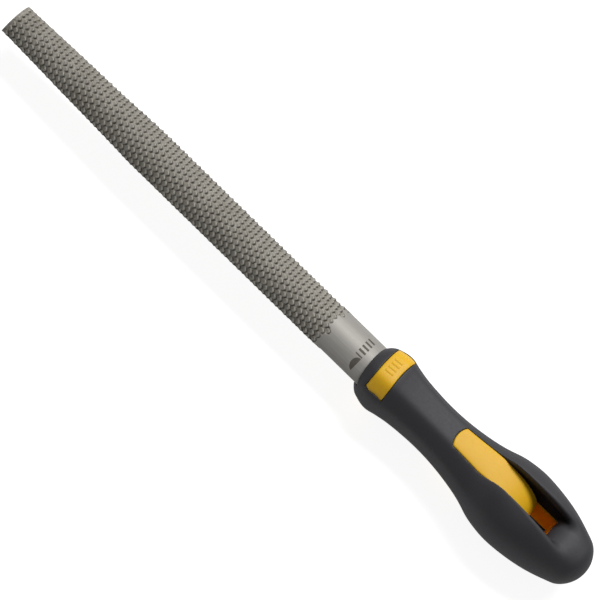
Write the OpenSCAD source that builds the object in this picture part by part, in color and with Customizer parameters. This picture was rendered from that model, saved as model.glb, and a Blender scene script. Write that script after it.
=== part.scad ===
// Half-round wood rasp with a push-on two-component handle.
// X runs along the tool from the point (-X) to the butt (+X), Y across it, Z up on the round side.
// The origin is on the tool's axis, half way between the point and the butt.

/* [Blade] */
// Length from the point to the shoulder
blade_len = 200; // [180:5:220]
// Width of the smooth heel
blade_w = 20.9; // [19:0.1:23]
// Thickness of the smooth heel
blade_t = 5.8; // [5:0.2:7]
// Height by which the points of the teeth stand proud of the smooth heel
tooth_rise = 0.4; // [0.1:0.05:0.5]
// Length of the smooth heel in front of the handle
heel_len = 19.5; // [15:0.5:25]
// Length of the tapered part at the point
taper_len = 72; // [50:2:90]
// Width at the point as a share of the width of the parallel body
point_scale = 0.76; // [0.7:0.02:0.9]
// Length of the tang behind the shoulder
tang_len = 60; // [50:2:66]
// Width of the tang at its root
tang_w = 10; // [8:0.5:11]
// Thickness of the tang at its root
tang_t = 4.4; // [4:0.1:4.6]

/* [Handle] */
// Length from the mouth to the butt
handle_len = 120; // [112:2:128]
// Depth to which the heel sits in the mouth
seat_depth = 4.5; // [3:0.5:6]
// Half width of the collar behind the mouth
collar_r = 13; // [12.5:0.25:14]
// Half width of the waist
waist_r = 10.3; // [10:0.1:11]
// Half width of the belly
belly_r = 18.2; // [17.5:0.1:19]
// Half height of the belly
belly_h = 16.8; // [15:0.1:17.5]
// Radius of the core's barrel around the tang
barrel_r = 7.6; // [7.2:0.1:8]
// Thickness of the soft grip over the core's paddle
skin = 3.2; // [2.5:0.1:4]

/* [Window and hanging hole] */
// Distance from the mouth to the front of the window
window_front = 44.9; // [44:0.1:48]
// Half width of the window at its front
window_w_front = 4.9; // [4:0.1:5.2]
// Half width of the window at its widest
window_w = 6.1; // [5.7:0.1:6.5]
// Half height of the tongue at its highest
tongue_h = 11.9; // [11:0.1:12.2]
// Distance from the mouth to the end of the tongue
nose_end = 88.5; // [86:0.5:90]
// Distance from the mouth to the rear wall of the hanging hole
eye_end = 97.9; // [96:0.1:99]
// Half width between the eye's side walls
eye_w = 5.3; // [5:0.1:5.5]
// Half height of the core's eye frame
eye_h = 5.6; // [5:0.1:6]
// Height of the eye frame's middle above the tool's axis
eye_mid = -0.9; // [-1.2:0.1:0]
// Half height of the grip's rounded saddle behind the eye
saddle_h = 13.4; // [12:0.1:14]

/* [Marking band] */
// Distance from the mouth to the front of the band, at the middle
band_front = 4.6; // [4:0.1:6]
// Length of the band along the handle, at the middle
band_len = 8.3; // [7:0.1:10]
// Half width of the band across the handle
band_w = 11.6; // [10:0.1:12]

/* [Fits] */
// Gap around the tang in its socket
tang_gap = 0.1; // [0.05:0.05:0.2]
// Gap around the heel in the mouth
heel_gap = 0.3; // [0.2:0.05:0.5]

/* [Hidden] */
overall_len = blade_len - seat_depth + handle_len;
point_x = -overall_len / 2;
mouth_x = overall_len / 2 - handle_len;
shoulder_x = mouth_x + seat_depth;
shoulder_len = 5;
// Width and thickness of the tang at its end as a share of those at its root
tang_taper = 0.4;
// Height of the tang's middle above the flat side of the teeth
tang_z = 2.7;
// Depth of the marking band below the grip around it
band_step = 0.25;
// Height above which the core's pads stand in the band's windows
band_floor = 5.5;
// Distance by which the band's front and rear edges curve back at its ends
band_front_curve = 1;
band_rear_curve = 1.4;
// Larger than any cut needs
big = 60;
eps = 0.01;
ring_sides = 44;
round_fn = 96;

// ---------- curves of the handle ----------
// Lengths of the rounded ends, in which the section grows from a point
front_cap = 10.4;
butt_cap = 7.2;
// The front end is drawn this far in front of the mouth, so the mouth's rim is domed
front_dome = 0.45;
// Half widths along the handle: [distance from the mouth, half width]
widths = [
    [-1, collar_r - 0.1], [7, collar_r], [12, collar_r + 0.4], [16.6, waist_r + 2.15],
    [21.3, waist_r + 1.3], [28, waist_r + 0.65], [36.7, waist_r + 0.3], [45, waist_r + 0.65],
    [54.4, waist_r + 1.95], [63.9, belly_r - 3.75], [73.4, belly_r - 1.15], [82, belly_r],
    [92.3, belly_r - 0.95], [101.8, belly_r - 2.85], [111.2, belly_r - 5.95], [handle_len, belly_r - 9.6],
];
// Half heights along the handle: [distance from the mouth, half height]
heights = [
    [-1, collar_r - 0.5], [7, collar_r - 0.4], [12, collar_r], [16.6, waist_r + 1.75],
    [21.3, waist_r + 0.95], [28, waist_r + 0.3], [36.7, waist_r], [47, waist_r + 0.2],
    [56, waist_r + 0.9], [62, tongue_h + 0.1], [66, belly_h - 3], [70, belly_h - 0.9],
    [74, belly_h - 0.15], [84, belly_h + 0.1], [92.3, belly_h], [101.8, belly_h - 1.5],
    [111.2, belly_h - 4.4], [handle_len, belly_h - 7.6],
];
// The domed front is oval, its eight facets are full here, and they fade into the oval belly
facets_full = 5;
facets_from = 42;
facets_to = 88;
// The higher this is, the sharper the edges between the facets
facet_power = 14;
// Slant of the four diagonal facets, as shares of the half width and half height
diagonal_y = 0.742;
diagonal_z = 0.615;
// Fullness of the rounded ends: growth of the front's dome with distance and radius, and of the butt
dome_power = 2.2;
dome_radius_power = 3;
butt_power = 2.2;

function clamp01(v) = min(1, max(0, v));
function smooth(v) = let (c = clamp01(v)) c * c * (3 - 2 * c);
function slope(p, i) =
    let (a = max(0, i - 1), b = min(len(p) - 1, i + 1))
    (p[b][1] - p[a][1]) / (p[b][0] - p[a][0]);
function hermite(p, i, x) =
    let (d = p[i + 1][0] - p[i][0], t = (x - p[i][0]) / d)
    p[i][1] * (1 + 2 * t) * (1 - t) ^ 2 + p[i + 1][1] * t ^ 2 * (3 - 2 * t)
    + d * (slope(p, i) * t * (1 - t) ^ 2 - slope(p, i + 1) * t ^ 2 * (1 - t));
// Smooth curve through the points p, read at x
function along(p, x, i = 0) =
    i >= len(p) - 2 || x < p[i + 1][0] ? hermite(p, i, x) : along(p, x, i + 1);

// Share of the full section left at h, inside the rounded ends
function end_share(h) =
    h < front_cap - front_dome
        ? (1 - clamp01((front_cap - front_dome - h) / front_cap) ^ dome_power) ^ (1 / dome_radius_power)
        : (1 - clamp01((h - handle_len + butt_cap) / butt_cap) ^ butt_power) ^ (1 / butt_power);
// Gauge of the section: 1 on its outline, for y and z as shares of the half width and half height
function facet_gauge(y, z) =
    let (diagonal = diagonal_y * y + diagonal_z * z)
    (y ^ facet_power + z ^ facet_power + diagonal ^ facet_power) ^ (1 / facet_power);
function gauge(y, z, oval) = (1 - oval) * facet_gauge(abs(y), abs(z)) + oval * norm([y, z]);
function ring(h, inset) =
    let (
        share = end_share(h),
        a = along(widths, h) * share - inset,
        b = along(heights, h) * share - inset,
        oval = max(1 - smooth(h / facets_full), smooth((h - facets_from) / (facets_to - facets_from)))
    )
    [for (i = [0:ring_sides - 1])
        let (t = 360 * (i + 0.5) / ring_sides, r = 1 / gauge(cos(t) / a, sin(t) / b, oval))
        [mouth_x + h, r * cos(t), r * sin(t)]];
// Distances of the rings from h0 to h1
function spread(h0, h1, step) =
    let (n = ceil((h1 - h0) / step)) [for (i = [0:n]) h0 + (h1 - h0) * i / n];

// Solid skinned over rings that all have the same number of points
module loft(rings) {
    n = len(rings[0]);
    m = len(rings);
    points = [for (r = rings) each r];
    sides = [for (j = [0:m - 2], i = [0:n - 1], k = [0:1])
        let (a = j * n + i, b = j * n + (i + 1) % n)
        k == 0 ? [b, a, b + n] : [b + n, a, a + n]];
    ends = [[for (i = [0:n - 1]) i], [for (i = [n - 1:-1:0]) (m - 1) * n + i]];
    polyhedron(points, concat(sides, ends), convexity = 6);
}

module handle_outside() {
    cap_rings = 7;
    front = [for (i = [0:cap_rings - 1]) -front_dome + eps + front_cap * (1 - cos(90 * i / cap_rings))];
    ring_step = 2.8;
    middle = spread(front_cap - front_dome, handle_len - butt_cap, ring_step);
    butt = [for (i = [1:cap_rings]) handle_len - butt_cap + (butt_cap - eps) * sin(90 * i / cap_rings)];
    loft([for (h = concat(front, middle, butt)) ring(h, 0)]);
}

// ---------- pieces of outline ----------
// Half-round section standing on the Y axis
module half_round(w, t) {
    r = (w * w / 4 + t * t) / (2 * t);
    intersection() {
        translate([0, t - r]) circle(r, $fn = round_fn);
        translate([-w / 2, 0]) square([w, t]);
    }
}

// Turns a section drawn in (Y, Z) to face along +X at x
module at_x(x) translate([x, 0, 0]) rotate([90, 0, 90]) children();

// Box between two corners
module block(low, high) translate(low) cube(high - low);

// Extrudes an outline drawn in (distance from the mouth, Y) over the whole height
module through_z() translate([mouth_x, 0, -big / 2]) linear_extrude(big) children();

// Extrudes an outline drawn in (distance from the mouth, Z) to the half width w
module through_y(w) translate([mouth_x, w, 0]) rotate([90, 0, 0]) linear_extrude(2 * w) children();

// Plan of the window: rounded front, sides that follow the top facet, then parallel to the end
module window_plan(end) {
    front_r = 9.5;
    facet_end = 62;
    rear_w = window_w - 0.3;
    half = [
        [window_front - 1, window_w_front], [54, window_w - 0.6], [facet_end, window_w],
        [facet_end + 6, rear_w], [end, rear_w],
    ];
    intersection() {
        polygon(concat(half, [for (i = [len(half) - 1:-1:0]) [half[i][0], -half[i][1]]]));
        union() {
            translate([window_front + front_r, 0]) circle(front_r, $fn = round_fn);
            translate([window_front + front_r, -big / 2]) square([big, big]);
        }
    }
}

// Distance from the mouth at which the tongue starts to curve down, and its half height at h
tongue_crest = 69;
tongue_power = 2.2;
function tongue_drop(h) = clamp01((h - tongue_crest) / (nose_end - tongue_crest));
function tongue_z(h) =
    h < tongue_crest
        ? min(along(heights, h) - 0.1, tongue_h)
        : tongue_h * (1 - tongue_drop(h) ^ tongue_power) ^ (1 / tongue_power);
// Side outline of the tongue: flush with the grip, then an arc down to the nose
module tongue_side() {
    arc_steps = 9;
    flush_step = 2.6;
    flush = spread(window_front - 3, tongue_crest, flush_step);
    arc = [for (i = [1:arc_steps]) tongue_crest + (nose_end - tongue_crest) * sin(90 * i / arc_steps)];
    hs = concat(flush, arc);
    top = [for (h = hs) [h, tongue_z(h)]];
    bottom = [for (i = [len(hs) - 2:-1:0]) [hs[i], -tongue_z(hs[i])]];
    polygon(concat(top, bottom));
}

// Side outline of the saddle behind the hanging hole: upright at the eye frame, rounded above and below
saddle_centre = 111;
module saddle_side() {
    steps = 8;
    reach = saddle_centre - eye_end;
    rise = saddle_h - eye_h;
    upper = [for (i = [0:steps])
        let (t = 90 + 90 * i / steps)
        [saddle_centre + reach * cos(t), eye_mid + eye_h + rise * sin(t)]];
    lower = [for (i = [0:steps])
        let (t = 180 + 90 * i / steps)
        [saddle_centre + reach * cos(t), eye_mid - eye_h + rise * sin(t)]];
    polygon(concat(upper, lower));
}

// ---------- blade ----------
// Slice of the tang from x0 to x1, its section scaled by share and grown all round
module tang_slice(x0, x1, share, grow) {
    half_w = tang_w * share / 2 + grow;
    half_t = tang_t * share / 2 + grow;
    block([x0, -half_w, tang_z - half_t], [x1, half_w, tang_z + half_t]);
}

// Sloping shoulders and tapered tang
module tang(grow) {
    root = shoulder_x + shoulder_len;
    end = shoulder_x + tang_len;
    slice = 0.5;
    hull() {
        at_x(shoulder_x - slice) linear_extrude(slice + grow) heel_section(grow);
        tang_slice(root, root + slice, 1, grow);
    }
    hull() {
        tang_slice(root - slice, root, 1, grow);
        tang_slice(end - slice, end + grow, tang_taper, grow);
    }
}

// Section of the smooth heel, which is lower than the teeth on both sides
module heel_section(grow) {
    translate([0, tooth_rise - grow]) half_round(blade_w + 2 * grow, blade_t + 2 * grow);
}

// Section through the points of the teeth, its flat side on the Y axis
module toothed_section() half_round(blade_w + 2 * tooth_rise, blade_t + 2 * tooth_rise);

module rasp_blade() {
    teeth_end = mouth_x - heel_len;
    taper_end = point_x + taper_len;
    color("#8f8b84") union() {
        at_x(taper_end) linear_extrude(teeth_end - taper_end) toothed_section();
        // Body tapering to the point, its flat side staying level
        translate([taper_end, 0, 0]) rotate([90, 0, -90])
            linear_extrude(taper_len, scale = point_scale) toothed_section();
        at_x(teeth_end - eps) linear_extrude(shoulder_x - teeth_end + eps) heel_section(0);
        tang(0);
    }
}

// ---------- handle ----------
module mouth_pocket() {
    at_x(mouth_x - big / 4) linear_extrude(big / 4 + seat_depth + heel_gap) heel_section(heel_gap);
}

// Plan of the marking band, its edges curving back towards the flanks
module band_plan() {
    steps = 8;
    shares = [for (i = [-steps:steps]) i / steps];
    front = [for (u = shares) [band_front + band_front_curve * u ^ 2, band_w * u]];
    rear = [for (u = shares) [band_front + band_len + band_rear_curve * u ^ 2, -band_w * u]];
    polygon(concat(front, rear));
}

// Windows for the marking band on the top and bottom of the collar
module band_windows() {
    for (side = [0, 1]) mirror([0, 0, side])
        translate([mouth_x, 0, band_floor]) linear_extrude(big) band_plan();
}

// Pads of the core that fill the band's windows
module band_pads() {
    ring_step = 1.6;
    rear = band_front + band_len + band_rear_curve;
    intersection() {
        loft([for (h = spread(band_front, rear, ring_step)) ring(h, band_step)]);
        band_windows();
    }
}

// Outer form of the core, without the tang socket
module core_form() {
    barrel_end = window_front + 8;
    paddle_end = 108;
    ring_step = 4;
    eye_start = nose_end - 8;
    at_x(mouth_x + band_front) linear_extrude(barrel_end - band_front) circle(barrel_r, $fn = round_fn);
    band_pads();
    intersection() {
        through_y(window_w) tongue_side();
        through_z() window_plan(nose_end + 1);
    }
    // Flat paddle inside the belly, with the eye cut through it
    difference() {
        intersection() {
            loft([for (h = spread(window_front, paddle_end, ring_step)) ring(h, skin)]);
            block([mouth_x, -big, eye_mid - eye_h], [mouth_x + handle_len, big, eye_mid + eye_h]);
        }
        through_z() translate([eye_start, -eye_w]) square([eye_end - eye_start, 2 * eye_w]);
    }
}

module handle_core() {
    color("#f0bb48") difference() {
        core_form();
        tang(tang_gap);
        mouth_pocket();
    }
}

module soft_grip() {
    color("#3f3f42") difference() {
        handle_outside();
        core_form();
        band_windows();
        tang(tang_gap);
        intersection() {
            through_z() window_plan(saddle_centre);
            through_y(window_w + 1) difference() {
                translate([window_front - 1, -big / 2]) square([saddle_centre - window_front, big]);
                saddle_side();
            }
        }
        mouth_pocket();
    }
}

rasp_blade();
handle_core();
soft_grip();
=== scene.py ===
import math

import bpy
import numpy as np
from mathutils import Matrix, Vector


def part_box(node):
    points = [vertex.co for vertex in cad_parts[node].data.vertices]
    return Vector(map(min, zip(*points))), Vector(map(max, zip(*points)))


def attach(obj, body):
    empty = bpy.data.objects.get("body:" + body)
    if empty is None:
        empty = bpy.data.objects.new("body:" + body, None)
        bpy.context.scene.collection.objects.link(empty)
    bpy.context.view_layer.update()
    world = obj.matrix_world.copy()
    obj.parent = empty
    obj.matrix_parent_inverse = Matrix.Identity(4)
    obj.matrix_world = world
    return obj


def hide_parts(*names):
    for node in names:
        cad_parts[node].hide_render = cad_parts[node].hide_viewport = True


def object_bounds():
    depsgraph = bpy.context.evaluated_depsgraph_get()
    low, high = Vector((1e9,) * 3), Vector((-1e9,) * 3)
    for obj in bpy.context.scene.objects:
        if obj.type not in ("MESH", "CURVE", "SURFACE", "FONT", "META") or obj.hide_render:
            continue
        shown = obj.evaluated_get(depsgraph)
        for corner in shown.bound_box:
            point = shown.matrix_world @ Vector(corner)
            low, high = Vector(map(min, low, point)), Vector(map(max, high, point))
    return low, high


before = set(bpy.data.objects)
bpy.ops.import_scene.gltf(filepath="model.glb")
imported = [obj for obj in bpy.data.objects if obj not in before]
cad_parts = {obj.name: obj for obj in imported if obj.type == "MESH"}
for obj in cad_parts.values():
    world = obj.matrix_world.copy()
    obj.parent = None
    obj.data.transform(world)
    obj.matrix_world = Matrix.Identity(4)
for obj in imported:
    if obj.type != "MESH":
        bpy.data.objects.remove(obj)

cad_low, cad_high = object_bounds()
MM = 0.001
FLOOR_Z = cad_low.z

# ---------- places and sizes in millimetres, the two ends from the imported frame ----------
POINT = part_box("rasp_blade")[0].x / MM
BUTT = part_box("soft_grip")[1].x / MM
HANDLE_LEN = 120.0
MOUTH = BUTT - HANDLE_LEN

# Blade: smooth heel section, then teeth, taper towards the point, shoulders and tang.
BLADE_W, BLADE_T = 20.9, 5.8
TOOTH_RISE = 0.4
HEEL_LEN = 19.5
TEETH_END = MOUTH - HEEL_LEN
TAPER_LEN = 72.0
SEAT = 4.5
SHOULDER = 5.0
TANG_LEN = 60.0
TANG_W, TANG_T, TANG_Z = 10.0, 4.4, 2.7
TANG_TAPER = 0.4
TANG_FLARE = 2.2
HEEL_ROOM = 0.3

# Handle outline: half widths and half heights of its parts, then the rounding of its ends.
COLLAR, WAIST, BELLY, BELLY_H = 13.0, 10.3, 18.2, 16.8
FRONT_CAP, FRONT_DOME, FRONT_POWER = 10.4, 0.45, 3
BUTT_CAP, END_POWER = 7.2, 2.2
FACETS_FULL, FACETS_FROM, FACETS_TO = 5.0, 42.0, 88.0
FACET_POWER, FACET_Y, FACET_Z = 14, 0.742, 0.615

# Small edges: the seams between core and grip, and the rounding of their corners.
SEAM, BAND_SEAM, PART_SEAM = 0.05, 0.1, 0.02
SMALL_ROUND, EDGE_ROUND, MOUTH_ROUND = 0.12, 0.3, 0.25

# Hard core: barrel round the tang, paddle inside the belly, and the gaps round the tang.
BARREL, BARREL_START, BARREL_REACH = 7.6, 4.9, 8.5
SKIN = 3.2
PADDLE_START, PADDLE_END = 45.0, 108.0
SOCKET_GAP, GRIP_GAP = 0.1, 0.12

# Thumb window, tongue, hanging eye and the saddle behind it.
WINDOW_FRONT, WINDOW_W, WINDOW_NOSE_R = 44.9, 6.1, 9.5
WINDOW_STATIONS = [WINDOW_FRONT - 0.5, 54, 62, 68]
WINDOW_HALVES = [WINDOW_W - 1.0, WINDOW_W - 0.35, WINDOW_W + 0.3, WINDOW_W]
WALL_DRAFT, WALL_TOP = 0.03, 15.3
TONGUE_H, TONGUE_CREST, TONGUE_POWER, TONGUE_CROWN = 11.9, 69.0, 2.2, 0.006
TONGUE_STEP, TONGUE_ROUND = 0.08, 0.8
NOSE_END, NOSE_ROUND = 88.5, 2.8
EYE_START, EYE_END, EYE_W, EYE_CORNER = NOSE_END - 8, 97.9, 5.3, 0.6
EYE_HALF, EYE_MIDDLE = 5.6, -0.9
EYE_WALL, EYE_WALL_FROM, EYE_WALL_LEN = EYE_W + 0.12, 80.0, 4.0
SADDLE_CENTRE, SADDLE_H = 111.0, 13.4
SADDLE_FILLET, SADDLE_FILLET_GROWS, SADDLE_FILLET_LEN = 0.1, 1.6, 0.35
LIP_AT, LIP_ROUND = [60, 70, 80, 92, 104], [0.2, 0.3, 0.5, 1.3, 1.8]

# Marking band: its two bowed ends, its step below the grip and its ribs.
BAND_W, BAND_STEP, BAND_FLOOR, BAND_CORNER = 11.6, 0.25, 5.5, 0.35
BAND_FRONT, BAND_FRONT_BOW = 4.55, 1.0
BAND_REAR, BAND_REAR_BOW = 12.85, 1.4
RIB_H, RIB_Y, RIB_PITCH, RIB_HALF, RIB_REACH = 8.5, 0.4, 2.1, 0.42, 1.8
RIB_RISE, RIB_EDGE = 0.2, 0.5


def clamp01(v):
    return np.clip(v, 0.0, 1.0)


def smooth(v):
    c = clamp01(v)
    return c * c * (3 - 2 * c)


def curve_through(stations):
    """Smooth curve through (distance from the mouth, value) stations."""
    p = np.array(stations, float)
    n = len(p)
    before, after = np.maximum(np.arange(n) - 1, 0), np.minimum(np.arange(n) + 1, n - 1)
    slope = (p[after, 1] - p[before, 1]) / (p[after, 0] - p[before, 0])
    q = np.arange(p[0, 0], p[-1, 0], 0.05)
    i = np.clip(np.searchsorted(p[:, 0], q, side="right") - 1, 0, n - 2)
    d = p[i + 1, 0] - p[i, 0]
    t = (q - p[i, 0]) / d
    value = (
        p[i, 1] * (1 + 2 * t) * (1 - t) ** 2
        + p[i + 1, 1] * t**2 * (3 - 2 * t)
        + d * (slope[i] * t * (1 - t) ** 2 - slope[i + 1] * t**2 * (1 - t))
    )
    return lambda h: np.interp(h, q, value)


half_width = curve_through([
    (-1, COLLAR - 0.1), (7, COLLAR), (12, COLLAR + 0.4), (16.6, WAIST + 2.15), (21.3, WAIST + 1.3),
    (28, WAIST + 0.65), (36.7, WAIST + 0.3), (45, WAIST + 0.65), (54.4, WAIST + 1.95),
    (63.9, BELLY - 3.75), (73.4, BELLY - 1.15), (82, BELLY), (92.3, BELLY - 0.95),
    (101.8, BELLY - 2.85), (111.2, BELLY - 5.95), (HANDLE_LEN, BELLY - 9.6),
])
half_height = curve_through([
    (-1, COLLAR - 0.5), (7, COLLAR - 0.4), (12, COLLAR), (16.6, WAIST + 1.75), (21.3, WAIST + 0.95),
    (28, WAIST + 0.3), (36.7, WAIST), (47, WAIST + 0.2), (56, WAIST + 0.9), (62, TONGUE_H + 0.1),
    (66, BELLY_H - 3.0), (70, BELLY_H - 0.9), (74, BELLY_H - 0.15), (84, BELLY_H + 0.1),
    (92.3, BELLY_H), (101.8, BELLY_H - 1.5), (111.2, BELLY_H - 4.4), (HANDLE_LEN, BELLY_H - 7.6),
])


# ---------- fields: below zero inside, about a distance in millimetres, h from the mouth ----------
def meet(a, b, round_r):
    """Both at once, with the edge between them rounded."""
    k = np.maximum(round_r * 2.0, 1e-6)
    share = clamp01(0.5 + 0.5 * (a - b) / k)
    return b + (a - b) * share + k * share * (1 - share)


def join(a, b, fillet_r):
    """Either one, with the corner between them filled."""
    return -meet(-a, -b, fillet_r)


def between(h, start, end):
    """Slab across the handle."""
    return np.abs(h - (start + end) / 2) - (end - start) / 2


def outside(h, y, z, inset=0.0):
    """Outer form of the handle: domed front, eight facets that fade into the oval belly, rounded butt."""
    a, b = half_width(h) - inset, half_height(h) - inset
    faded = smooth((h - FACETS_FROM) / (FACETS_TO - FACETS_FROM))
    oval = np.maximum(1 - smooth(h / FACETS_FULL), faded)
    sy, sz = np.abs(y) / a, np.abs(z) / b
    slanting = (FACET_Y * sy + FACET_Z * sz) ** FACET_POWER
    facets = (sy**FACET_POWER + sz**FACET_POWER + slanting) ** (1 / FACET_POWER)
    gauge = (1 - oval) * facets + oval * np.sqrt(sy**2 + sz**2)
    front = clamp01((FRONT_CAP - FRONT_DOME - h) / FRONT_CAP)
    butt = np.maximum((h - HANDLE_LEN + BUTT_CAP) / BUTT_CAP, 0)
    domed = (gauge**FRONT_POWER + front**END_POWER) ** (1 / FRONT_POWER)
    rounded = (gauge**END_POWER + butt**END_POWER) ** (1 / END_POWER)
    capped = np.where(h < HANDLE_LEN / 2, domed, rounded)
    return np.maximum((capped - 1) * np.sqrt(a * b), -FRONT_DOME - h)


def half_round(y, z, w, t, low):
    """Half-round section w wide and t high, standing on z = low."""
    r = (w * w / 4 + t * t) / (2 * t)
    return np.maximum(np.sqrt(y**2 + (z - low - t + r) ** 2) - r, low - z)


def socket(h, y, z, gap):
    """Room for the heel, the shoulders and the tang, with a gap all round the tang."""
    stops = [SEAT, SEAT + SHOULDER, SEAT + TANG_LEN]
    half_w = np.interp(h, stops, [BLADE_W / 2, TANG_W / 2, TANG_W * TANG_TAPER / 2])
    half_t = np.interp(h, stops, [BLADE_T / 2, TANG_T / 2, TANG_T * TANG_TAPER / 2])
    middle = np.interp(h, stops[:2], [TOOTH_RISE + BLADE_T / 2, TANG_Z])
    sides = np.maximum(np.abs(y) - half_w, np.abs(z - middle) - half_t) - gap
    tang = np.maximum(sides, h - SEAT - TANG_LEN - gap)
    heel = half_round(y, z, BLADE_W + 2 * HEEL_ROOM, BLADE_T + 2 * HEEL_ROOM, TOOTH_RISE - HEEL_ROOM)
    tang = np.maximum(np.maximum(tang, heel), SEAT - h)
    return np.minimum(tang, np.maximum(heel, h - SEAT - HEEL_ROOM))


def band_window(h, y, z):
    """Opening of the grip round the marking band, on top and underneath."""
    front = BAND_FRONT + BAND_FRONT_BOW * (y / BAND_W) ** 2
    rear = BAND_REAR + BAND_REAR_BOW * (y / BAND_W) ** 2
    plan = meet(np.maximum(front - h, h - rear), np.abs(y) - BAND_W, BAND_CORNER)
    return np.maximum(plan, BAND_FLOOR - np.abs(z))


def window(h, y, z):
    """Opening of the thumb window and the hanging hole, its walls closing in a little with depth."""
    height = np.maximum(np.abs(z - EYE_MIDDLE), EYE_HALF)
    half = np.interp(h, WINDOW_STATIONS, WINDOW_HALVES) + WALL_DRAFT * (height - WALL_TOP)
    half = np.maximum(half, EYE_WALL * smooth((h - EYE_WALL_FROM) / EYE_WALL_LEN))
    ahead = np.minimum(h - WINDOW_FRONT - WINDOW_NOSE_R, 0)
    return meet(np.abs(y) - half, np.sqrt(ahead**2 + y**2) - WINDOW_NOSE_R, SMALL_ROUND)


def tongue(h, y, z):
    """Thumb tongue: flush with the grip in front, slightly crowned, curving down to its rounded nose."""
    up = np.abs(z) + TONGUE_CROWN * y**2
    run = np.maximum(h - TONGUE_CREST, 0) / (NOSE_END - TONGUE_CREST)
    bow = (run**TONGUE_POWER + (up / TONGUE_H) ** TONGUE_POWER) ** (1 / TONGUE_POWER)
    top = meet((bow - 1) * TONGUE_H, outside(h, y, z, TONGUE_STEP), TONGUE_ROUND)
    nose = np.maximum(h - NOSE_END + NOSE_ROUND, 0) / NOSE_ROUND
    round_nose = (np.sqrt(nose**2 + (y / WINDOW_W) ** 2) - 1) * WINDOW_W
    return meet(top, np.maximum(window(h, y, z) + SEAM, round_nose), EDGE_ROUND)


def eye(h, y):
    """Slot through the paddle, with rounded corners at the rear."""
    across = np.abs(y) - EYE_W + EYE_CORNER
    along = between(h, EYE_START, EYE_END) + EYE_CORNER
    corner = np.hypot(np.maximum(across, 0), np.maximum(along, 0))
    return corner + np.minimum(np.maximum(across, along), 0) - EYE_CORNER


def band_pad(h, y, z):
    """Front marking band of the core, with low raised ribs on its top and underside."""
    across = np.abs(y - RIB_Y)
    row = np.abs(across % RIB_PITCH - RIB_PITCH / 2) - RIB_HALF
    ribs = np.maximum(row, np.maximum(across - 2 * RIB_PITCH, np.abs(h - RIB_H) - RIB_REACH))
    skin_line = outside(h, y, z, BAND_STEP) - RIB_RISE * smooth(0.5 - ribs / RIB_EDGE)
    return meet(skin_line, band_window(h, y, z) + BAND_SEAM, MOUTH_ROUND)


def core_form(h, y, z):
    """Outer form of the hard core, without the tang's socket."""
    barrel_end = WINDOW_FRONT + BARREL_REACH
    barrel = np.maximum(np.sqrt(y**2 + z**2) - BARREL, between(h, BARREL_START, barrel_end))
    plate = np.maximum(np.abs(z - EYE_MIDDLE) - EYE_HALF, between(h, PADDLE_START, PADDLE_END))
    paddle = meet(np.maximum(outside(h, y, z, SKIN), plate), -eye(h, y), EDGE_ROUND)
    return np.minimum(np.minimum(barrel, paddle), np.minimum(tongue(h, y, z), band_pad(h, y, z)))


def core_field(h, y, z):
    """Hard core."""
    return np.maximum(core_form(h, y, z), -socket(h, y, z, SOCKET_GAP))


def grip_field(h, y, z):
    """Soft grip: outer form less the window, the hanging hole, the band's windows, the core and the blade."""
    rise = SADDLE_H - EYE_HALF
    run = np.minimum(h - SADDLE_CENTRE, 0) / (SADDLE_CENTRE - EYE_END)
    up = np.maximum(np.abs(z - EYE_MIDDLE) - EYE_HALF, 0) / rise
    saddle = (np.sqrt(run**2 + up**2) - 1) * rise
    fillet = SADDLE_FILLET + SADDLE_FILLET_GROWS * smooth(up / SADDLE_FILLET_LEN)
    walls = join(-window(h, y, z), saddle, fillet)
    form = meet(outside(h, y, z), walls, np.interp(h, LIP_AT, LIP_ROUND))
    form = meet(form, -band_window(h, y, z), EDGE_ROUND)
    form = np.maximum(form, -core_form(h, y, z) + PART_SEAM)
    return meet(form, -socket(h, y, z, GRIP_GAP), MOUTH_ROUND)


# ---------- meshes ----------
def sized_steps(stops):
    """Grid positions from (end, step) pairs, starting at the first end."""
    at = [stops[0][0]]
    for end, step in stops[1:]:
        n = max(1, round((end - at[-1]) / step))
        at.extend(np.linspace(at[-1], end, n + 1)[1:])
    return np.array(at)


def gradient(field, p, step=0.02):
    """Field at the points and its slopes along the three axes."""
    base = field(p[:, 0], p[:, 1], p[:, 2])
    slopes = []
    for axis in range(3):
        q = p.copy()
        q[:, axis] += step
        slopes.append((field(q[:, 0], q[:, 1], q[:, 2]) - base) / step)
    return base, np.stack(slopes, 1)


def cell_edges(ci, cj, ck):
    """The twelve edges of each grid cell, as axis, start corner and end corner."""
    for axis in range(3):
        others = [a for a in range(3) if a != axis]
        for s in (0, 1):
            for t in (0, 1):
                start = [ci, cj, ck]
                start[others[0]] = start[others[0]] + s
                start[others[1]] = start[others[1]] + t
                end = list(start)
                end[axis] = start[axis] + 1
                yield axis, start, end


def crossing_points(value, grids, cells):
    """Mean of the places where the zero surface crosses each cell's edges."""
    total, hits = np.zeros((len(cells[0]), 3)), np.zeros(len(cells[0]))
    for axis, start, end in cell_edges(*cells):
        va, vb = value[tuple(start)], value[tuple(end)]
        crossed = (va < 0) != (vb < 0)
        share = np.where(crossed, va / np.where(crossed, va - vb, 1), 0)
        for a, grid in enumerate(grids):
            along = share * (grid[end[a]] - grid[start[a]]) if a == axis else 0
            total[:, a] += np.where(crossed, grid[start[a]] + along, 0)
        hits += crossed
    return total / hits[:, None]


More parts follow.
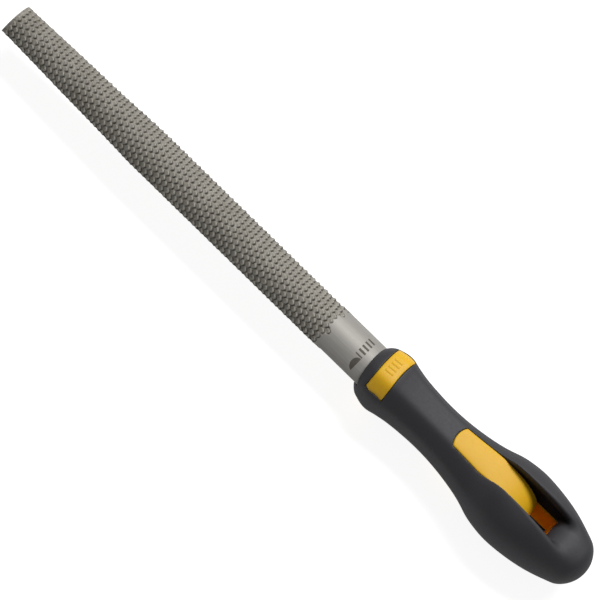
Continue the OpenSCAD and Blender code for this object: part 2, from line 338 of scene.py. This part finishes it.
def surface_quads(inside, number):
    """One quad round each grid edge that the surface crosses, facing outwards."""
    quads = []
    for axis in range(3):
        flips = np.diff(inside.astype(np.int8), axis=axis)
        cell = np.nonzero(flips)
        rising = flips[cell] > 0
        o1, o2 = [(1, 2), (2, 0), (0, 1)][axis]
        corners = []
        for s, t in ((-1, -1), (0, -1), (0, 0), (-1, 0)):
            c = list(cell)
            c[o1] = c[o1] + s
            c[o2] = c[o2] + t
            corners.append(number[tuple(c)])
        quad = np.stack(corners, 1)
        quad[rising] = quad[rising][:, ::-1]
        quads.append(quad)
    return np.concatenate(quads)


def surface_net(field, hs, ys, zs):
    """Closed quad mesh over the zero surface of a field sampled on a grid, its corners moved onto the
    surface. Returns points, quads and the surface's own normals."""
    value = field(hs[:, None, None], ys[None, :, None], zs[None, None, :])
    inside = value < 0
    count = sum(
        inside[i : len(hs) - 1 + i, j : len(ys) - 1 + j, k : len(zs) - 1 + k].astype(np.int8)
        for i in (0, 1) for j in (0, 1) for k in (0, 1)
    )
    mixed = (count > 0) & (count < 8)
    number = np.full(mixed.shape, -1)
    number[mixed] = np.arange(mixed.sum())
    cells = np.nonzero(mixed)
    grids = (hs, ys, zs)
    points = crossing_points(value, grids, cells)
    low = np.stack([grid[c] for grid, c in zip(grids, cells)], 1)
    high = np.stack([grid[c + 1] for grid, c in zip(grids, cells)], 1)
    for _ in range(4):
        base, slopes = gradient(field, points)
        points = points - slopes * (base / np.maximum((slopes**2).sum(1), 1e-3))[:, None]
        points = np.clip(points, low, high)
    _, slopes = gradient(field, points)
    normals = slopes / np.maximum(np.linalg.norm(slopes, axis=1, keepdims=True), 1e-9)
    return points, surface_quads(inside, number), normals


def make_piece(name, points, faces, materials, face_material=None, normals=None):
    """Mesh object from points in millimetres."""
    mesh = bpy.data.meshes.new(name)
    mesh.from_pydata((points * MM).tolist(), [], faces)
    for m in materials:
        mesh.materials.append(m)
    if face_material is not None:
        mesh.polygons.foreach_set("material_index", np.asarray(face_material, np.int32))
    mesh.polygons.foreach_set("use_smooth", np.ones(len(mesh.polygons), bool))
    mesh.update()
    if normals is not None:
        mesh.normals_split_custom_set_from_vertices(normals.tolist())
    piece = bpy.data.objects.new(name, mesh)
    bpy.context.scene.collection.objects.link(piece)
    return piece


def add_layer(piece, name, values):
    """One number per point, for the piece's material."""
    layer = piece.data.attributes.new(name, "FLOAT", "POINT")
    layer.data.foreach_set("value", values.astype(np.float32))


# ---------- blade ----------
ROUND_COLUMNS, FLAT_COLUMNS = 88, 58
RING_STEP, HEEL_STEP = 0.29, 1.5

# Teeth: the two steps of their lattice, along and across the blade.
TOOTH_STEP_A, TOOTH_STEP_B = np.array([2.25, 1.25]), np.array([2.33, -1.50])
# Crest: its outline from above, its fall to the sides, its short steep back and its scooped front.
CREST_ARC, CREST_POINT, CREST_SKEW, CREST_HALF = 0.3, 0.35, 0.25, 1.3
CREST_FALL, CREST_POWER = 0.95, 1.8
BACK_STEEP, BACK_LEN, BACK_FLAT = 2.2, 0.38, 0.3
SCOOP_SLOPE, SCOOP_CURVE = 0.3, 0.42
# Pit: its depth, half width and length towards the point, and how softly it starts and ends.
PIT, PIT_HALF, PIT_LEN = 0.48, 1.75, 4.6
PIT_START, PIT_SOFT, PIT_RUN_OUT, PIT_SIDE = 0.35, 0.5, 1.6, 0.6
# Tone: the bright rim on the crest, wear together with a painted highlight, and the dark line behind it, a
# painted shadow.
RIM, RIM_AT, RIM_HALF = 0.7, 0.55, 0.9
SHADOW_LINE, SHADOW_LINE_AT, SHADOW_LINE_HALF = 1.3, 0.4, 0.6
TONE_HALF, TONE_SIDE = 1.5, 0.6
# Scatter of the teeth's places, size, height and last row, and the seeds of the two faces.
SCATTER_ALONG, SCATTER_ACROSS, SCATTER_SIZE, SCATTER_RISE, SCATTER_END = 0.13, 0.12, 0.07, 0.05, 0.25
TOP_SEED, FLAT_SEED = 11, 23
# Wear: the teeth fade at the very point, and are shallower on the +Y side of the blade's first part.
POINT_FADE, WORN_SIDE, WORN_FROM, WORN_SOFT, WORN_LEN = 2, 0.6, 0.3, 0.15, 30
# The flat's edge: where its teeth fade, and how far in it follows the dips of the long edges.
FLAT_FADE, FLAT_PULL = 2.6, 3.2
LAST_ROWS = 4
POINT_SLANT, SLANT_LEN = 0.035, 4


def tooth_relief(x, u, seed):
    """Height over the smooth heel of the punched teeth at x along the blade and u across its face.
    Each tooth is an arc-shaped crest that bulges towards the handle, with a scooped pit on its side towards
    the point. Returns the height, where the surface is untouched, and the tone: bright on the crests for
    wear together with a painted highlight, and a painted shadow behind them."""
    rng = np.random.default_rng(seed)
    lattice = np.array([TOOTH_STEP_A, TOOTH_STEP_B]).T
    place = np.linalg.solve(lattice, np.stack([x.ravel() - POINT, u.ravel()]))
    whole = np.round(place).astype(int)
    low = whole.min(1) - 4
    size = whole.max(1) - low + 5
    jitter = rng.normal(0, 1, (4, *size))
    xs, us = x.ravel(), u.ravel()
    crest = np.full(len(xs), -9.0)
    pit = np.zeros(len(xs))
    tone = np.zeros(len(xs))
    for i in range(-3, 4):
        for j in range(-3, 4):
            cell = whole + np.array([[i], [j]])
            at = cell - low[:, None]
            wobble = jitter[:, at[0], at[1]]
            tooth_x = POINT + lattice[0] @ cell + SCATTER_ALONG * wobble[0]
            tooth_u = lattice[1] @ cell + SCATTER_ACROSS * wobble[1]
            real = tooth_x < TEETH_END - 0.3 + SCATTER_END * wobble[3]
            v = us - tooth_u
            across = np.abs(v)
            ahead = xs - tooth_x + CREST_ARC * v**2 + CREST_POINT * across + CREST_SKEW * v
            behind, before = np.maximum(ahead, 0), np.maximum(-ahead, 0)
            grown = 1 + SCATTER_SIZE * wobble[2]
            sides = CREST_FALL * grown * (across / CREST_HALF) ** CREST_POWER
            steep = np.minimum(behind, BACK_LEN)
            back = BACK_STEEP * steep + BACK_FLAT * (behind - steep)
            scoop = SCOOP_SLOPE * before + SCOOP_CURVE * before**2
            raised = TOOTH_RISE - SCATTER_RISE * np.abs(wobble[2]) - sides - scoop - back
            seen = real & (raised > crest)
            crest = np.where(seen, raised, crest)
            # Bright rim on the crest, wear together with a painted highlight, and a painted shadow just behind
            # it.
            rim = RIM * smooth(1 - np.abs(ahead + RIM_AT) / RIM_HALF)
            shadow_line = SHADOW_LINE * smooth(1 - np.abs(ahead - SHADOW_LINE_AT) / SHADOW_LINE_HALF)
            tone = np.where(seen, (rim - shadow_line) * smooth((TONE_HALF - across) / TONE_SIDE), tone)
            dug_along = smooth((PIT_START - ahead) / PIT_SOFT) * smooth((ahead + PIT_LEN) / PIT_RUN_OUT)
            dug = PIT * dug_along * smooth((PIT_HALF - across) / PIT_SIDE)
            pit = np.maximum(pit, np.where(real, dug, 0))
    relief = np.minimum(np.maximum(crest, -pit), TOOTH_RISE)
    plain = (pit < 0.02) & (crest < -0.02)
    return relief.reshape(x.shape), plain.reshape(x.shape), tone.reshape(x.shape)


def taper_share(x):
    """Share of the full section left at x, towards the point."""
    stations = [0, 1.2, 17.8, 29.6, 41.4, 53, 65, TAPER_LEN]
    return np.interp(x - POINT, stations, [0.755, 0.765, 0.812, 0.855, 0.89, 0.922, 0.968, 1])


def section_ring(w, t, low):
    """Points and outward normals round a half-round section, the round face from one edge to the other and
    then the flat, with the distance across the face at each point."""
    r = (w * w / 4 + t * t) / (2 * t)
    half = math.asin(w / 2 / r)
    angle = np.linspace(-half, half, ROUND_COLUMNS + 1)
    across = np.linspace(w / 2, -w / 2, FLAT_COLUMNS + 1)[1:-1]
    y = np.concatenate([r * np.sin(angle), across])
    z = np.concatenate([low + t - r + r * np.cos(angle), np.full(len(across), low)])
    ny = np.concatenate([np.sin(angle), np.zeros(len(across))])
    nz = np.concatenate([np.cos(angle), np.full(len(across), -1.0)])
    nz[: ROUND_COLUMNS + 1] *= smooth((half - np.abs(angle)) * r / 1.5)
    ny[0], ny[ROUND_COLUMNS] = -1.0, 1.0
    return y, z, ny, nz, np.concatenate([r * angle, across])


def toothed_rings(heel_y, heel_z, top):
    """Rings from the point to the end of the teeth, with pit depth, tone and untouched places."""
    stop = TEETH_END + 1.2
    xs = np.linspace(POINT, stop, int((stop - POINT) / RING_STEP))
    w, t = BLADE_W + 2 * TOOTH_RISE, BLADE_T + 2 * TOOTH_RISE
    y, z, ny, nz, u = section_ring(w, t, 0.0)
    share = taper_share(xs)[:, None]
    x = np.repeat(xs[:, None], len(y), 1)
    faces = [tooth_relief(x, u * share, seed) for seed in (TOP_SEED, FLAT_SEED)]
    relief, plain, tone = (np.where(top, a, b) for a, b in zip(*faces))
    # The two long edges take the highest tooth near them, and keep a part of its dips.
    near, last = 5, ROUND_COLUMNS + 1
    for column, reach, kept in ((0, slice(0, near), 0.35), (ROUND_COLUMNS, slice(last - near, last), 0.8)):
        relief[:, column] = TOOTH_RISE - (TOOTH_RISE - relief[:, reach].max(1)) * kept
    ahead = x - POINT
    worn_side = WORN_SIDE * smooth((y / w - WORN_FROM) / WORN_SOFT) * smooth(1.6 - ahead / WORN_LEN)
    faded = smooth((ahead + 0.3) / POINT_FADE) * (1 - worn_side)
    flat_edge = smooth((w / 2 - np.abs(y)) * share / FLAT_FADE)
    depth = (TOOTH_RISE - relief) * faded * np.where(top, 1.0, flat_edge)
    # Over the last rows the section shrinks from the teeth's points to the smooth heel.
    end = smooth((xs[:, None] - TEETH_END + LAST_ROWS) / LAST_ROWS)
    ring_y = (y * share - ny * depth) * (1 - end) + (heel_y - ny * (depth - TOOTH_RISE)) * end
    ring_z = (z * share - nz * depth) * (1 - end) + (heel_z - nz * (depth - TOOTH_RISE)) * end
    # The flat's outer columns follow the dips of the two long edges.
    for column, side in ((0, -1), (ROUND_COLUMNS, 1)):
        pull = depth[:, column : column + 1] * (1 - smooth(np.abs(y - side * w / 2) * share / FLAT_PULL))
        ring_y = ring_y - np.where(top, 0, side * pull)
    slant = POINT_SLANT * y * share * smooth(1 - ahead / SLANT_LEN)
    rings = np.stack([x + slant - slant.min(), ring_y, np.maximum(ring_z, 0)], 2)
    return rings, clamp01(depth), tone * faded, plain


def heel_rings(heel_y, heel_z):
    """Rings of the smooth heel, down to the shoulders."""
    seat = MOUTH + SEAT
    xs = np.append(np.arange(TEETH_END + 2.2, seat - 0.5, HEEL_STEP), seat)
    return np.stack([np.stack([np.full(len(heel_y), x), heel_y, heel_z], 1) for x in xs])


def tang_rings(heel_y, heel_z, top):
    """Rings of the shoulders, where the half-round turns into a rectangle, and of the tapered tang."""
    out = np.abs(heel_y) / heel_y.max()
    corner = 1 / TANG_FLARE
    tang_y = np.clip(heel_y / heel_y.max() * TANG_FLARE, -1, 1)
    tang_z = np.where(top, 1 - 2 * clamp01((out - corner) / (1 - corner)), -1.0)
    start = MOUTH + SEAT
    root, stop = start + SHOULDER, start + TANG_LEN
    rings = []
    for x in (*np.linspace(start, root, 7)[1:], *np.linspace(root, stop, 12)[1:]):
        morph = smooth((x - start) / SHOULDER)
        scale = 1 - (1 - TANG_TAPER) * max(0, x - root) / (stop - root)
        ring_y = heel_y * (1 - morph) + tang_y * TANG_W / 2 * scale * morph
        ring_z = heel_z * (1 - morph) + (TANG_Z + tang_z * TANG_T / 2 * scale) * morph
        rings.append(np.stack([np.full(len(ring_y), x), ring_y, ring_z], 1))
    return np.stack(rings)


def make_blade(materials):
    """Toothed blade, heel, shoulders and tang as one closed skin of rings."""
    heel_y, heel_z = section_ring(BLADE_W, BLADE_T, TOOTH_RISE)[:2]
    top = np.arange(len(heel_y)) <= ROUND_COLUMNS
    toothed, pit, tone, plain = toothed_rings(heel_y, heel_z, top)
    rings = np.concatenate([toothed, heel_rings(heel_y, heel_z), tang_rings(heel_y, heel_z, top)])
    m, n = rings.shape[:2]
    points = np.concatenate([rings.reshape(-1, 3), [rings[0].mean(0), rings[-1].mean(0)]])
    row, col = np.meshgrid(np.arange(m - 1), np.arange(n), indexing="ij")
    a, b = row * n + col, row * n + (col + 1) % n
    quads = np.stack([a, a + n, b + n, b], 2).reshape(-1, 4)
    ring = np.arange(n)
    tip = np.stack([np.full(n, m * n), ring, (ring + 1) % n], 1)
    end = np.stack([np.full(n, m * n + 1), (m - 1) * n + (ring + 1) % n, (m - 1) * n + ring], 1)
    faces = quads.tolist() + tip.tolist() + end.tolist()
    untouched = np.concatenate([plain, np.ones((m - len(plain), n), bool)])
    ground = untouched[row, col] & untouched[row + 1, col] & untouched[row, (col + 1) % n]
    face_material = np.concatenate([ground.ravel().astype(int), np.ones(2 * n, int)])
    blade = make_piece("toothed_blade", points, faces, materials, face_material)
    # The tooth layer carries the crests' bright wear with a painted highlight, and the painted shadow behind
    # them.
    for name, values in (("pit_depth", pit), ("crest_wear_highlight_and_shadow", tone)):
        add_layer(blade, name, np.append(values.ravel(), np.zeros(len(points) - values.size)))
    soft_shaded = np.concatenate([np.ones(len(quads), bool), np.zeros(2 * n, bool)])
    blade.data.polygons.foreach_set("use_smooth", soft_shaded)
    return blade


# ---------- handle ----------
def make_core(material):
    """Hard core: band, barrel, tongue and paddle. Its painted-shade layer marks the wall of the hanging eye.
    """
    hs = sized_steps([(3.5, 0), (15.5, 0.3), (43, 0.9), (99, 0.5), (109, 0.7)])
    ys = sized_steps([(-16, 0), (-7, 0.6), (7, 0.3), (16, 0.6)])
    zs = sized_steps([(-13.4, 0), (13.4, 0.44)])
    points, quads, normals = surface_net(core_field, hs, ys, zs)
    h, y, z = points.T
    # Mask for painted shade on the wall inside the hanging eye.
    inner_wall = smooth((eye(h, y) + 0.5) / 0.3) * (h > EYE_START - 0.5)
    wall = inner_wall * smooth((EYE_HALF + 0.1 - np.abs(z - EYE_MIDDLE)) / 0.2)
    points[:, 0] += MOUTH
    core = make_piece("hard_core", points, quads.tolist(), [material], normals=normals)
    add_layer(core, "painted_shade", wall)
    return core


def make_grip(material):
    """Soft grip. Its painted-shade layer marks the deep side walls of the thumb window."""
    hs = sized_steps([(-1.2, 0), (16, 0.42), (43, 0.75), (101, 0.5), (121, 0.55)])
    ys = sized_steps([
        (-19, 0), (-12.6, 0.55), (-10.6, 0.33), (-7, 0.55), (7, 0.45), (10.6, 0.55), (12.6, 0.33), (19, 0.55),
    ])
    zs = sized_steps([(-16.9, 0), (16.9, 0.5)])
    points, quads, normals = surface_net(grip_field, hs, ys, zs)
    depth = -outside(*points.T)
    # Mask for painted shade on the window's deep side walls.
    wall = smooth((depth - 0.6) / 3.5) * smooth((np.abs(normals[:, 1]) - 0.55) / 0.35)
    points[:, 0] += MOUTH
    grip = make_piece("soft_skin", points, quads.tolist(), [material], normals=normals)
    add_layer(grip, "painted_shade", wall)
    return grip


# ---------- materials ----------
class Paint:
    """One node material, built step by step."""

    def __init__(self, name):
        self.material = bpy.data.materials.new(name)
        self.material.use_nodes = True
        self.tree = self.material.node_tree
        self.shader = next(n for n in self.tree.nodes if n.type == "BSDF_PRINCIPLED")
        self.object = self.tree.nodes.new("ShaderNodeTexCoord").outputs["Object"]

    def node(self, kind, inputs=None, **settings):
        made = self.tree.nodes.new(kind)
        for key, value in settings.items():
            setattr(made, key, value)
        for key, value in (inputs or {}).items():
            self.feed(made.inputs[key], value)
        return made

    def feed(self, socket_in, value):
        if isinstance(value, bpy.types.NodeSocket):
            self.tree.links.new(value, socket_in)
        else:
            socket_in.default_value = value

    def math(self, operation, a, b=0.0, c=0.0, clamp=False):
        return self.node("ShaderNodeMath", {0: a, 1: b, 2: c}, operation=operation, use_clamp=clamp).outputs[0]

    def layer(self, name):
        return self.node("ShaderNodeAttribute", attribute_name=name).outputs["Fac"]

    def stretched(self, x, y, z):
        return self.node("ShaderNodeMapping", {"Vector": self.object, "Scale": (x, y, z)}).outputs[0]

    def noise(self, scale, detail=3.0, rough=0.5, vector=None):
        inputs = {"Vector": vector or self.object, "Scale": scale, "Detail": detail, "Roughness": rough}
        return self.node("ShaderNodeTexNoise", inputs).outputs["Fac"]

    def ramp(self, factor, *stops):
        made = self.node("ShaderNodeValToRGB", {"Fac": factor})
        while len(made.color_ramp.elements) < len(stops):
            made.color_ramp.elements.new(0.5)
        for element, (at, colour) in zip(made.color_ramp.elements, stops):
            element.position = at
            element.color = (*colour, 1)
        return made.outputs["Color"]

    def mix(self, factor, a, b):
        made = self.node("ShaderNodeMix", data_type="RGBA")
        for index, value in ((0, factor), (6, a), (7, b)):
            self.feed(made.inputs[index], (*value, 1) if isinstance(value, tuple) else value)
        return made.outputs[2]

    def bump(self, height, distance, strength=1.0, normal=None):
        inputs = {"Height": height, "Distance": distance, "Strength": strength}
        if normal is not None:
            inputs["Normal"] = normal
        return self.node("ShaderNodeBump", inputs).outputs["Normal"]

    def set(self, **values):
        for name, value in values.items():
            if isinstance(value, tuple):
                value = (*value, 1)
            self.feed(self.shader.inputs[name.replace("_", " ")], value)
        return self.material


def srgb(r, g, b):
    """Colour from sRGB values of 0 to 255."""
    return tuple(((c / 255 + 0.055) / 1.055) ** 2.4 if c > 10 else c / 255 / 12.92 for c in (r, g, b))


def toothed_steel():
    """Dull grey steel: dirt in the pits, a painted shadow behind the crests, and bright wear along the crests
    that also serves as their painted highlight.
    """
    p = Paint("toothed_steel")
    depth = p.layer("pit_depth")
    tone = p.layer("crest_wear_highlight_and_shadow")
    patches = p.noise(140.0, 4.0, 0.6)
    speckle = p.noise(2600.0, 3.0, 0.6)
    steel = p.ramp(patches, (0.3, srgb(158, 153, 143)), (0.7, srgb(174, 170, 160)))
    stain = p.ramp(p.noise(60.0, 5.0, 0.65), (0.45, (0, 0, 0)), (0.75, (1, 1, 1)))
    dirt = p.math("MULTIPLY", depth, p.math("MULTIPLY_ADD", stain, 0.3, 0.25))
    colour = p.mix(dirt, steel, srgb(98, 91, 79))
    colour = p.mix(p.math("MULTIPLY", speckle, 0.25), colour, srgb(70, 65, 58))
    # Painted shadow: the dark band behind each crest.
    colour = p.mix(p.math("MULTIPLY", tone, -0.8, clamp=True), colour, srgb(58, 54, 48))
    # Bright crests: wear, together with a painted highlight where they catch the light.
    crest = p.math("MULTIPLY", tone, 0.6, clamp=True)
    worn = p.math("MULTIPLY", crest, p.math("MULTIPLY_ADD", speckle, 1.2, 0.2))
    colour = p.mix(worn, colour, srgb(222, 219, 212))
    rough = p.math("MULTIPLY_ADD", depth, 0.15, 0.5)
    return p.set(
        Base_Color=colour, Metallic=0.3, Roughness=p.math("MULTIPLY_ADD", speckle, 0.12, rough),
        Normal=p.bump(speckle, 0.00004, 0.8),
    )


# Generic mark on the heel: a half disc and a row of short bars, about its middle line across the blade.
MARK_X, MARK_HALF = MOUTH - 4.6, 1.7
BAR_SHIFT, BAR_PITCH, BAR_MIDDLE, BAR_HALF = 4.2, 2.2, 0.6, 0.5
BARS_MIDDLE, BARS_HALF = 1.2, 4.9
DISC_Y, DISC_R = -6.4, 2.5


def etched_mark(p):
    """One inside the mark on the heel's round face, zero elsewhere."""
    x, y, z = p.node("ShaderNodeSeparateXYZ", {"Vector": p.object}).outputs
    beat = p.math("FLOORED_MODULO", p.math("MULTIPLY_ADD", y, 1 / MM, BAR_SHIFT), BAR_PITCH)
    row = p.math("COMPARE", y, BARS_MIDDLE * MM, BARS_HALF * MM)
    bars = p.math("MULTIPLY", p.math("COMPARE", beat, BAR_MIDDLE, BAR_HALF), row)
    plan = p.node("ShaderNodeCombineXYZ", {"X": x, "Y": y}).outputs[0]
    disc_middle = ((MARK_X + MARK_HALF) * MM, DISC_Y * MM, 0)
    reach = p.node("ShaderNodeVectorMath", {0: plan, 1: disc_middle}, operation="DISTANCE").outputs["Value"]
    either = p.math("MAXIMUM", bars, p.math("LESS_THAN", reach, DISC_R * MM))
    shape = p.math("MULTIPLY", either, p.math("COMPARE", x, MARK_X * MM, MARK_HALF * MM))
    return p.math("MULTIPLY", shape, p.math("GREATER_THAN", z, 1.5 * MM))


def ground_steel():
    """Smooth heel: fine grinding lines along the blade and an etched generic mark."""
    p = Paint("ground_steel")
    lines = p.noise(1.0, 4.0, 0.7, p.stretched(60, 2600, 2600))
    wide_lines = p.noise(1.0, 3.0, 0.6, p.stretched(25, 500, 500))
    steel = p.ramp(lines, (0.25, srgb(158, 155, 149)), (0.8, srgb(184, 181, 176)))
    steel = p.mix(p.math("MULTIPLY", wide_lines, 0.35), steel, srgb(150, 146, 138))
    etched = p.math("MULTIPLY", etched_mark(p), p.math("MULTIPLY_ADD", p.noise(3000.0, 2.0), 0.35, 0.68))
    colour = p.mix(etched, steel, srgb(78, 72, 62))
    rough = p.math("MULTIPLY_ADD", lines, 0.16, p.math("MULTIPLY_ADD", etched, 0.15, 0.5))
    ground = p.bump(lines, 0.00002, 0.5)
    return p.set(
        Base_Color=colour, Metallic=0.3, Roughness=rough,
        Normal=p.bump(p.math("MULTIPLY", etched, -1.0), 0.00003, 0.6, ground),
    )


def hard_plastic():
    """Warm yellow moulded plastic with faint clouds and scuffs, with painted shade in a deeper orange on the
    eye's wall.
    """
    p = Paint("hard_plastic")
    cloud = p.noise(55.0, 4.0, 0.55)
    grain = p.noise(1500.0, 4.0, 0.6)
    colour = p.ramp(cloud, (0.3, srgb(234, 180, 14)), (0.7, srgb(240, 188, 24)))
    scuffs = p.noise(1.0, 5.0, 0.7, p.stretched(120, 700, 700))
    worn = p.math("MULTIPLY", p.math("GREATER_THAN", scuffs, 0.66), 0.25)
    colour = p.mix(worn, colour, srgb(250, 205, 110))
    painted_shade = p.layer("painted_shade")
    # Painted shade: the eye's wall turns a deeper orange and loses part of its specular.
    colour = p.mix(p.math("MULTIPLY", painted_shade, 0.97), colour, srgb(220, 140, 10))
    return p.set(
        Base_Color=colour, Roughness=p.math("MULTIPLY_ADD", grain, 0.2, 0.44),
        Specular_IOR_Level=p.math("MULTIPLY_ADD", painted_shade, -0.5, 0.5),
        Subsurface_Weight=0.1, Subsurface_Scale=0.0015,
        Normal=p.bump(grain, 0.00003, 0.5),
    )


def soft_plastic():
    """Dark grey matt skin with a fine moulded grain, with near-black painted shade on the window's deep walls.
    """
    p = Paint("soft_plastic")
    cloud = p.noise(40.0, 5.0, 0.6)
    grain = p.noise(2200.0, 5.0, 0.7)
    pores = p.noise(900.0, 2.0, 0.5)
    colour = p.ramp(cloud, (0.3, srgb(49, 49, 53)), (0.7, srgb(56, 56, 60)))
    colour = p.mix(p.math("MULTIPLY", grain, 0.3), colour, srgb(65, 65, 70))
    painted_shade = p.layer("painted_shade")
    # Painted shade: the window's deep walls turn near black and lose part of their specular.
    colour = p.mix(p.math("MULTIPLY", painted_shade, 0.85), colour, srgb(18, 18, 20))
    return p.set(
        Base_Color=colour, Roughness=p.math("MULTIPLY_ADD", pores, 0.12, 0.56),
        Specular_IOR_Level=p.math("MULTIPLY_ADD", painted_shade, -0.5, 0.52),
        Normal=p.bump(pores, 0.00005, 0.4, p.bump(grain, 0.00005, 0.9)),
    )


def pale_floor():
    """White studio floor. Its glow is 0.9 as the camera sees it, and 0.4 in the light it gives the object."""
    p = Paint("pale_floor")
    tone = p.ramp(p.noise(3.0), (0.0, srgb(150, 150, 150)), (1.0, srgb(156, 156, 156)))
    seen = p.node("ShaderNodeLightPath").outputs["Is Camera Ray"]
    glow = p.math("MULTIPLY_ADD", seen, 0.5, 0.4)
    return p.set(Base_Color=tone, Roughness=0.9, Emission_Color=(1.0, 1.0, 1.0), Emission_Strength=glow)


# ---------- stage, in metres ----------
ROLL = math.radians(28)
ALONG = Vector((1, 0, 0))
ACROSS = Vector((0, math.cos(ROLL), math.sin(ROLL)))
TO_CAMERA = ALONG.cross(ACROSS)
CAMERA_TURN, CAMERA_DISTANCE = math.radians(44.325), 1.24
CAMERA_TARGET = 0.00123 * ALONG - 0.00096 * ACROSS
KEY_DIRECTION = -0.05 * ALONG + 0.84 * ACROSS + 0.54 * TO_CAMERA
FLOOR_SIDE = 4.0


def make_camera():
    """Looks at the tool's middle from above its left side, with the point to the picture's upper left."""
    right = math.cos(CAMERA_TURN) * ALONG + math.sin(CAMERA_TURN) * ACROSS
    up = -math.sin(CAMERA_TURN) * ALONG + math.cos(CAMERA_TURN) * ACROSS
    camera = bpy.data.objects.new("camera", bpy.data.cameras.new("camera"))
    camera.data.sensor_width = 36
    camera.data.lens = 187.5
    camera.data.clip_start, camera.data.clip_end = 0.05, 20
    place = Matrix.Translation(CAMERA_TARGET + TO_CAMERA * CAMERA_DISTANCE)
    camera.matrix_world = place @ Matrix((right, up, TO_CAMERA)).transposed().to_4x4()
    bpy.context.scene.collection.objects.link(camera)
    bpy.context.scene.camera = camera


def make_light(name, direction, distance, length, width, power):
    """Soft box, its length along the tool."""
    data = bpy.data.lights.new(name, "AREA")
    data.shape = "RECTANGLE"
    data.size, data.size_y = length, width
    data.energy = power
    light = bpy.data.objects.new(name, data)
    direction = direction.normalized()
    light.location = direction * distance
    light.rotation_mode = "QUATERNION"
    light.rotation_quaternion = direction.to_track_quat("Z", "Y")
    bpy.context.scene.collection.objects.link(light)


def make_floor():
    """Plain pale floor at the CAD box's lowest point."""
    mesh = bpy.data.meshes.new("floor")
    corners = [(-1, -1), (1, -1), (1, 1), (-1, 1)]
    mesh.from_pydata([(x * FLOOR_SIDE, y * FLOOR_SIDE, FLOOR_Z) for x, y in corners], [], [(0, 1, 2, 3)])
    mesh.materials.append(pale_floor())
    floor = bpy.data.objects.new("floor", mesh)
    bpy.context.scene.collection.objects.link(floor)


def make_world():
    """Even pale light from all round."""
    world = bpy.data.worlds.new("world")
    world.use_nodes = True
    background = next(n for n in world.node_tree.nodes if n.type == "BACKGROUND")
    background.inputs["Color"].default_value = (1, 1, 1, 1)
    background.inputs["Strength"].default_value = 0.16
    bpy.context.scene.world = world


make_floor()
make_world()
make_light("key", KEY_DIRECTION, distance=1.1, length=0.9, width=0.35, power=11.6)
bpy.context.scene.view_settings.view_transform = "Standard"
make_camera()

blade = make_blade([toothed_steel(), ground_steel()])
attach(blade, "blade")
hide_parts("rasp_blade")

core = make_core(hard_plastic())
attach(core, "handle")
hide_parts("handle_core")

grip = make_grip(soft_plastic())
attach(grip, "handle")
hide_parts("soft_grip")
